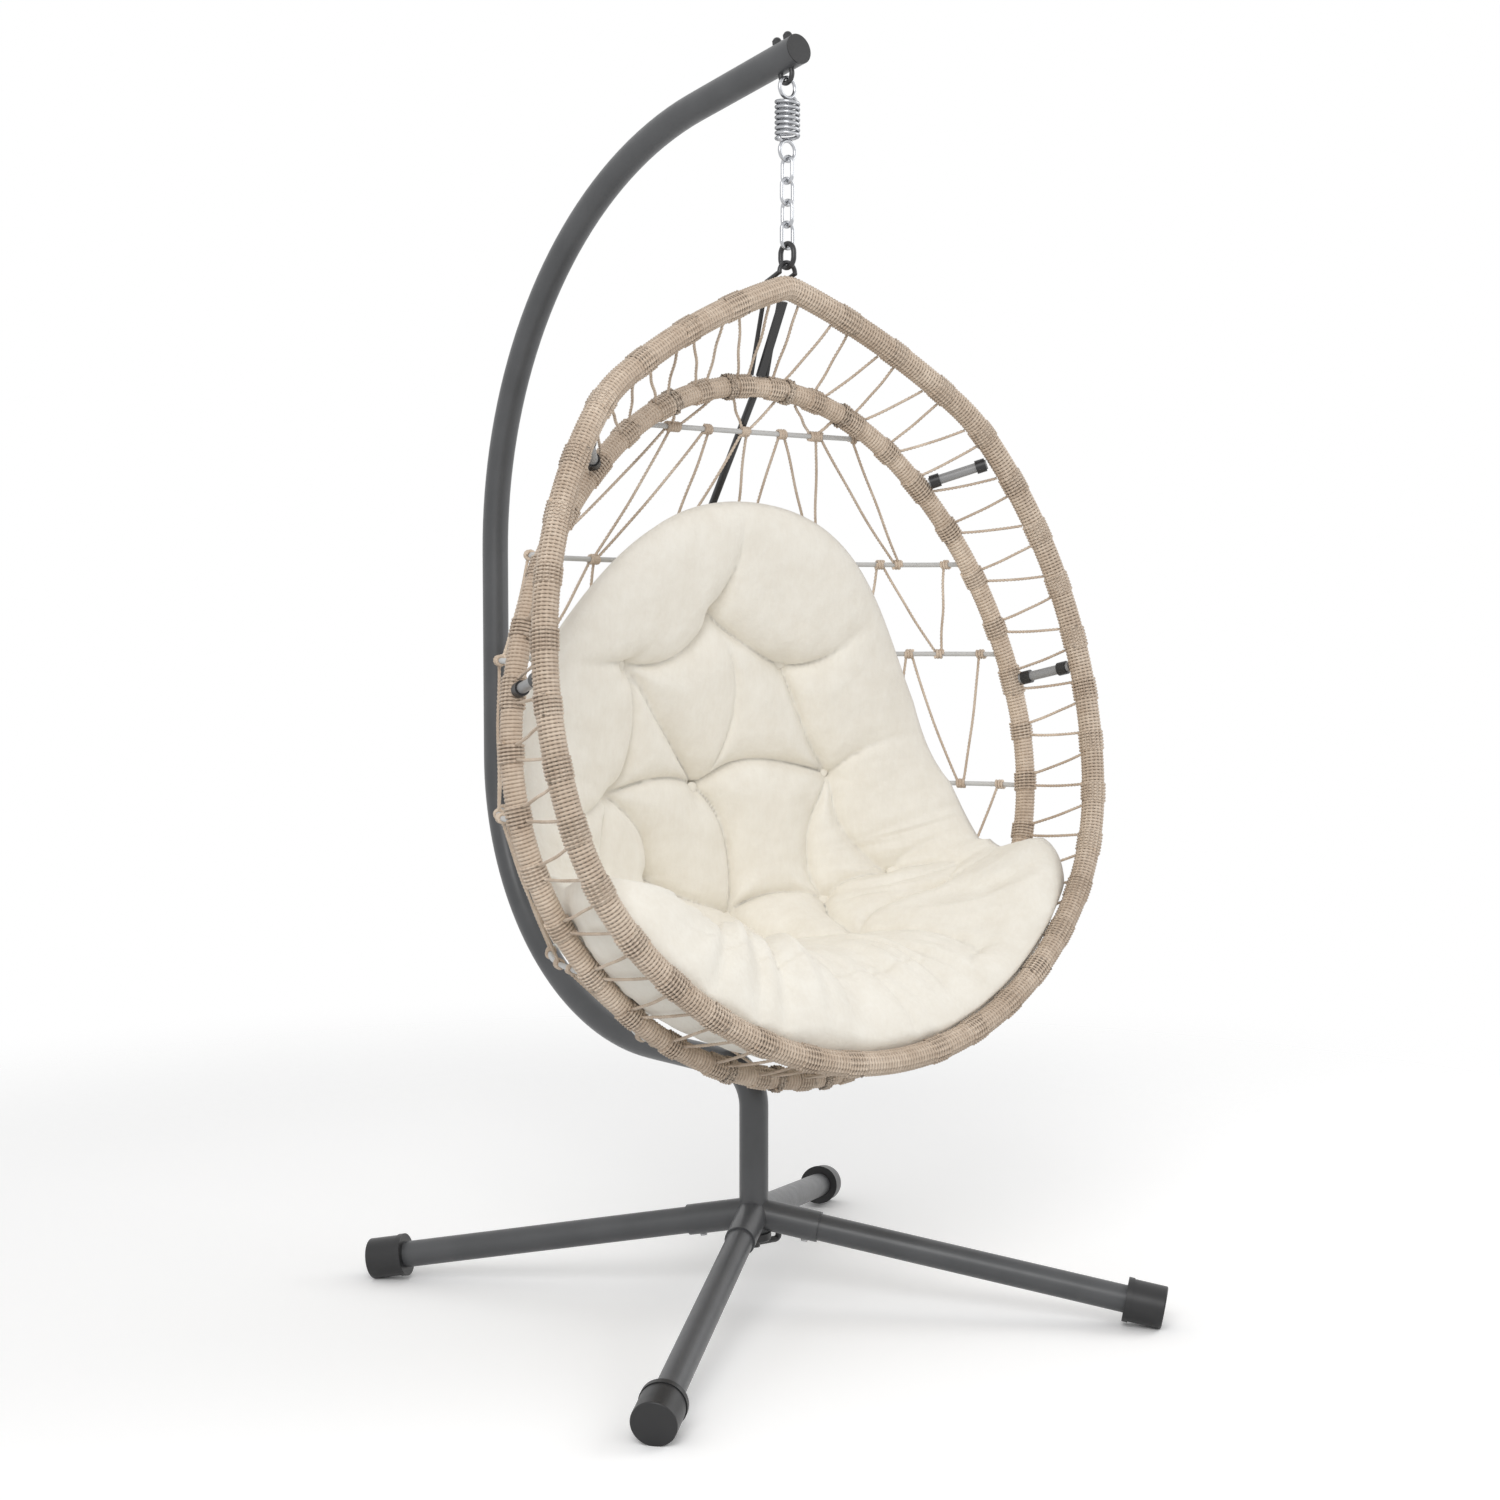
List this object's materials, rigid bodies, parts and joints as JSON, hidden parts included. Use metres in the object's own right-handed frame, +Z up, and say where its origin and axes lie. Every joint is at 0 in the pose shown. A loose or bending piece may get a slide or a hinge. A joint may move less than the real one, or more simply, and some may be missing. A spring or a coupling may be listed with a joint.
{
  "type": "hanging egg chair",
  "caption": "Rope-wound teardrop basket chair with a tufted seat cushion, hung by chain and spring from a curved steel arm on a cross-shaped base.",
  "frame": {"origin": "on the floor, at the middle of the whole object's bounding box; the post of the base stands 0.110 m in front of it", "axes": "+Z up, +X to the right of a person who faces the chair's back, so the chair faces -Y and the arm stands behind it towards +Y"},
  "size_m": [1.1094, 1.272, 1.9637],
  "materials": {
    "stand_coat": "satin",
    "black_coat": "satin",
    "cap_plastic": "matte",
    "zinc": "satin",
    "screw_steel": "satin",
    "ring_steel": "satin",
    "grey_bar": "satin",
    "rope": "matte",
    "collar": "matte",
    "cushion_cloth": "matte"
  },
  "bodies": {
    "stand": {"base_hub": "stand_coat", "hub_plug": "cap_plastic", "leg_front_left": "stand_coat", "leg_front_right": "stand_coat", "leg_back_left": "stand_coat", "leg_back_right": "stand_coat", "foot_cap_front_left": "cap_plastic", "foot_cap_front_right": "cap_plastic", "foot_cap_back_left": "cap_plastic", "foot_cap_back_right": "cap_plastic", "leg_screws": "screw_steel", "arm_lower": "stand_coat", "arm_upper": "stand_coat", "arm_joint_spigot": "ring_steel", "arm_joint_screws": "screw_steel", "arm_end_cap": "cap_plastic", "hanger_u_bolt": "black_coat", "hanger_cap_nuts": "black_coat"},
    "clamp": {"clamp_lever": "black_coat"},
    "spring_top": {"spring_upper_loop": "zinc", "spring_coil": "zinc"},
    "spring_foot": {"spring_lower_loop": "zinc"},
    "link_1": {"chain_link_1": "zinc"},
    "link_2": {"chain_link_2": "zinc"},
    "link_3": {"chain_link_3": "zinc"},
    "link_4": {"chain_link_4": "zinc"},
    "basket": {"oval_link": "black_coat", "basket_eye": "black_coat", "top_brace": "grey_bar", "rim_tube": "ring_steel", "rim_wrap": "rope", "hoop_tube": "ring_steel", "hoop_wrap": "rope", "spacer_upper_left": "grey_bar", "spacer_upper_right": "grey_bar", "spacer_lower_left": "grey_bar", "spacer_lower_right": "grey_bar", "spacer_collars": "collar", "back_spine": "black_coat", "rib_top": "grey_bar", "rib_upper": "grey_bar", "rib_middle": "grey_bar", "rib_lower": "grey_bar", "rib_seat": "grey_bar", "rib_floor": "grey_bar", "rim_lacing": "rope", "net_top": "rope", "net_neck": "rope", "net_upper": "rope", "net_middle": "rope", "net_lower": "rope", "net_seat": "rope", "net_floor": "rope"},
    "cushion": {"cushion": "cushion_cloth"}
  },
  "joints": [
    {"name": "clamp_turn", "type": "hinge", "parent": "stand", "child": "clamp", "pos_m": [0, -0.10993, 0.1], "axis": [0, 0, 1], "range_deg": [-180, 0]},
    {"name": "swing_side", "type": "hinge", "parent": "stand", "child": "spring_top", "pos_m": [0, -0.18823, 1.88748], "axis": [0, 1, 0], "range_deg": [-8, 8]},
    {"name": "spring_stretch", "type": "slide", "parent": "spring_top", "child": "spring_foot", "axis": [0, 0, 1], "range_m": [-0.02, 0], "stiffness_N_per_m": 47500, "springref_m": 0.011, "deforming": ["spring_coil"]},
    {"name": "swing_fore_aft", "type": "hinge", "parent": "spring_foot", "child": "link_1", "pos_m": [0, -0.18823, 1.77078], "axis": [1, 0, 0], "range_deg": [-12, 4]},
    {"name": "twist_1", "type": "hinge", "parent": "link_1", "child": "link_2", "pos_m": [0, -0.18823, 1.741], "axis": [0, 0, 1], "range_deg": [-20, 20]},
    {"name": "twist_2", "type": "hinge", "parent": "link_2", "child": "link_3", "pos_m": [0, -0.18823, 1.708], "axis": [0, 0, 1], "range_deg": [-20, 20]},
    {"name": "twist_3", "type": "hinge", "parent": "link_3", "child": "link_4", "pos_m": [0, -0.18823, 1.676], "axis": [0, 0, 1], "range_deg": [-20, 20]},
    {"name": "twist_4", "type": "hinge", "parent": "link_4", "child": "basket", "pos_m": [0, -0.18823, 1.643], "axis": [0, 0, 1], "range_deg": [-20, 20]},
    {"name": "cushion_lift", "type": "slide", "parent": "basket", "child": "cushion", "axis": [0, -0.8211, 0.5707], "range_m": [0, 0.15]}
  ]
}
